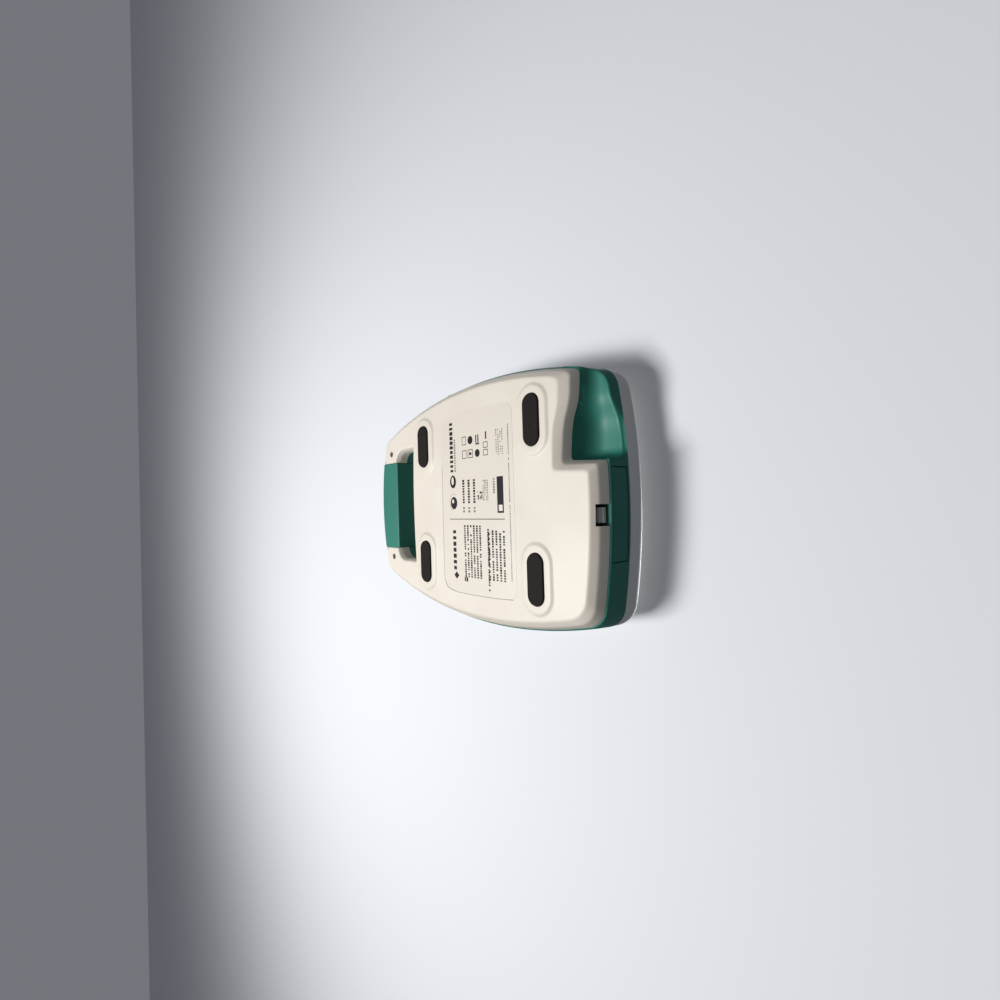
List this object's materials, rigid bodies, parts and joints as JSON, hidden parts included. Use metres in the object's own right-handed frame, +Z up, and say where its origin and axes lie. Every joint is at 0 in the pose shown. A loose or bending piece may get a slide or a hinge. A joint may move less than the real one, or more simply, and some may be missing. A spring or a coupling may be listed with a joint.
{
  "type": "bladder scanner console",
  "caption": "Portable ultrasound bladder scanner console with carrying handle, rubber feet, probe cradle notch, screen, keys, thermal printer and slide-out battery; probe not included",
  "frame": {"origin": "middle of the bounding box on the surface that the four rubber feet stand on", "axes": "+Z up through the screen side, +Y towards the carrying handle, +X to the user's right"},
  "size_m": [0.219, 0.2909, 0.069],
  "materials": {
    "cream_case": "fine moulded texture with light scuffs",
    "green_case": "satin moulded plastic",
    "white_case": "fine moulded texture",
    "rubber": "matt black rubber",
    "steel": "plain zinc plated",
    "label_film": "printed polyester film",
    "dark_plastic": "moulded black",
    "cell_wrap": "shrink wrap",
    "contact_metal": "plated spring brass",
    "grey_plastic": "moulded light grey",
    "green_key": "moulded green",
    "circuit_board": "solder mask green",
    "chip_black": "epoxy",
    "shield_can": "tinned sheet",
    "screen_glass": "hard coated clear window",
    "screen_unit": "dark panel in a metal frame",
    "ribbon": "flexible circuit",
    "keypad_film": "printed film",
    "gear_nylon": "natural nylon",
    "paper": "thermal paper"
  },
  "bodies": {
    "console": {"rear_shell": "cream_case", "middle_band": "green_case", "front_shell": "white_case", "probe_cradle": "green_case", "lower_seal": "rubber", "upper_seal": "rubber", "handle_grip": "green_case", "handle_core": "steel", "handle_screws": "steel", "rubber_feet": "rubber", "case_screws": "steel", "rating_label": "label_film", "battery_bay": "dark_plastic", "battery_contacts": "contact_metal", "latch_pin": "steel", "main_board": "circuit_board", "board_chips": "chip_black", "board_screws": "steel", "ultrasound_board": "circuit_board", "ultrasound_chips": "shield_can", "ultrasound_screws": "steel", "probe_socket": "steel", "socket_nut": "steel", "usb_port": "steel", "speaker": "rubber", "speaker_grille": "dark_plastic", "display_window": "screen_glass", "display_gasket": "rubber", "display_module": "screen_unit", "display_ribbon": "ribbon", "keypad_overlay": "keypad_film", "keypad_board": "circuit_board", "key_domes": "steel", "printer_frame": "dark_plastic", "print_head": "steel", "tear_bar": "steel", "feed_motor": "steel", "door_pins": "steel"},
    "soft_key_1_body": {"soft_key_1": "grey_plastic"},
    "soft_key_2_body": {"soft_key_2": "grey_plastic"},
    "soft_key_3_body": {"soft_key_3": "grey_plastic"},
    "soft_key_4_body": {"soft_key_4": "grey_plastic"},
    "power_key_body": {"power_key": "grey_plastic"},
    "scan_key_body": {"scan_key": "green_key"},
    "print_key_body": {"print_key": "grey_plastic"},
    "battery": {"battery_cap": "green_case", "battery_pack": "dark_plastic", "battery_rails": "dark_plastic", "battery_cells": "cell_wrap"},
    "latch": {"battery_latch": "grey_plastic"},
    "door": {"printer_door": "white_case"},
    "platen": {"platen_roller": "rubber", "platen_gear": "gear_nylon"},
    "pinion": {"motor_pinion": "contact_metal"},
    "roll": {"paper_roll": "paper", "roll_core": "grey_plastic"}
  },
  "joints": [
    {"name": "soft_key_1_press", "type": "slide", "parent": "console", "child": "soft_key_1_body", "axis": [0, 0, -1], "range_m": [0, 0.0012], "stiffness_N_per_m": 1200},
    {"name": "soft_key_2_press", "type": "slide", "parent": "console", "child": "soft_key_2_body", "axis": [0, 0, -1], "range_m": [0, 0.0012], "stiffness_N_per_m": 1200},
    {"name": "soft_key_3_press", "type": "slide", "parent": "console", "child": "soft_key_3_body", "axis": [0, 0, -1], "range_m": [0, 0.0012], "stiffness_N_per_m": 1200},
    {"name": "soft_key_4_press", "type": "slide", "parent": "console", "child": "soft_key_4_body", "axis": [0, 0, -1], "range_m": [0, 0.0012], "stiffness_N_per_m": 1200},
    {"name": "power_key_press", "type": "slide", "parent": "console", "child": "power_key_body", "axis": [0, 0, -1], "range_m": [0, 0.0012], "stiffness_N_per_m": 1200},
    {"name": "scan_key_press", "type": "slide", "parent": "console", "child": "scan_key_body", "axis": [0, 0, -1], "range_m": [0, 0.0012], "stiffness_N_per_m": 1200},
    {"name": "print_key_press", "type": "slide", "parent": "console", "child": "print_key_body", "axis": [0, 0, -1], "range_m": [0, 0.0012], "stiffness_N_per_m": 1200},
    {"name": "battery_withdraw", "type": "slide", "parent": "console", "child": "battery", "axis": [0, -1, 0], "range_m": [0, 0.1]},
    {"name": "latch_tilt", "type": "hinge", "parent": "console", "child": "latch", "pos_m": [0.0125, -0.122, 0.0115], "axis": [-1, 0, 0], "range_deg": [0, 5], "stiffness_Nm_per_rad": 0.8},
    {"name": "door_hinge", "type": "hinge", "parent": "console", "child": "door", "pos_m": [0, 0.0775, 0.0646], "axis": [-1, 0, 0], "range_deg": [0, 80]},
    {"name": "platen_spin", "type": "hinge", "parent": "console", "child": "platen", "pos_m": [0, 0.0335, 0.058], "axis": [1, 0, 0], "continuous": true},
    {"name": "pinion_spin", "type": "hinge", "parent": "console", "child": "pinion", "pos_m": [0, 0.0335, 0.04875], "axis": [1, 0, 0], "continuous": true},
    {"name": "roll_spin", "type": "hinge", "parent": "console", "child": "roll", "pos_m": [0, 0.0595, 0.0435], "axis": [1, 0, 0], "continuous": true}
  ],
  "couplings": [
    {"joint": "platen_spin", "follows": "roll_spin", "ratio": -3.2},
    {"joint": "pinion_spin", "follows": "roll_spin", "ratio": 6.4}
  ]
}
